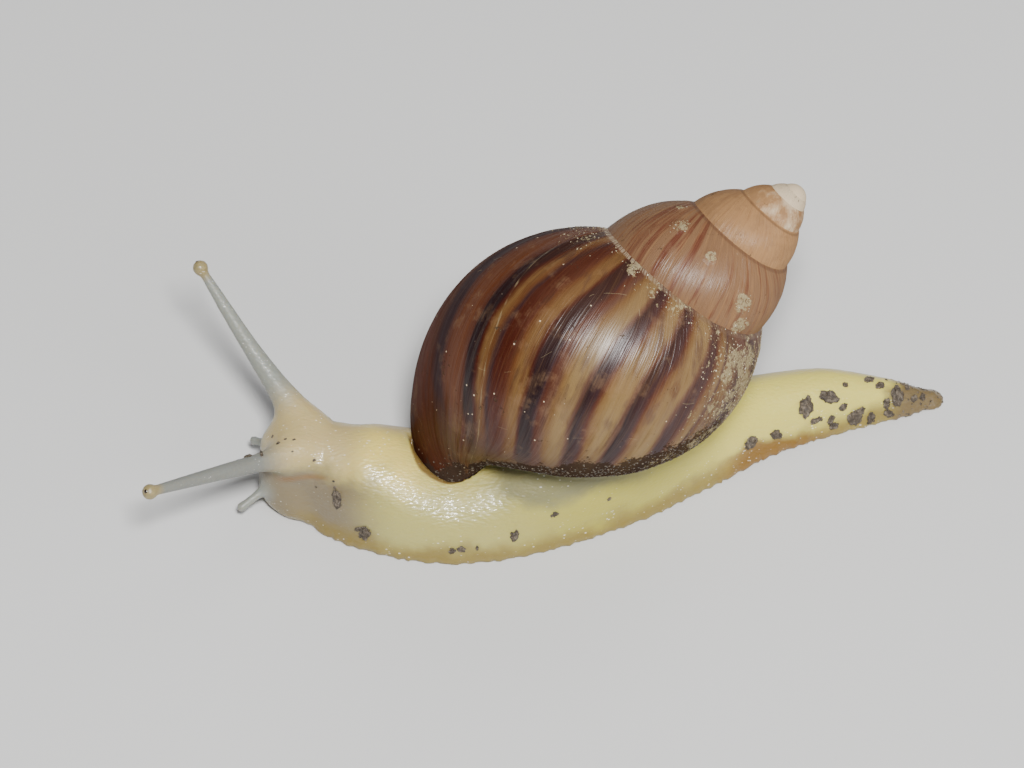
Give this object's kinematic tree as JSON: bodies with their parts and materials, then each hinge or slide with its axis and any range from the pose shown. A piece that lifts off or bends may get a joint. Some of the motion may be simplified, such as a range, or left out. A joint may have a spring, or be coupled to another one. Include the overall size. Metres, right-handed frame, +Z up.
{
  "type": "giant African land snail",
  "caption": "Life-size still model of a giant African land snail crawling, tentacles out, with a striped spiral shell.",
  "frame": {"origin": "on the flat sole of the foot, under the shell", "axes": "+Z up from the sole, the animal faces -Y and its left side is towards +X"},
  "size_m": [0.0361, 0.102, 0.0429],
  "materials": {
    "flesh": "wet",
    "mantle": "wet",
    "shell_striped": "glossy",
    "shell_spire": "satin",
    "shell_tip": "matt",
    "eye": "glossy"
  },
  "bodies": {
    "root": {"shell_body_whorl": "shell_striped", "shell_spire": "shell_spire", "shell_apex": "shell_tip", "head": "flesh", "neck": "flesh", "body_stalk": "flesh", "foot_front": "flesh", "foot_middle": "flesh", "foot_rear": "flesh", "tail_base": "flesh", "tail_tip": "flesh", "mantle_collar": "mantle", "tentacle_upper_left": "flesh", "tentacle_upper_right": "flesh", "tentacle_lower_left": "flesh", "tentacle_lower_right": "flesh", "eye_left": "eye", "eye_right": "eye"}
  },
  "joints": []
}
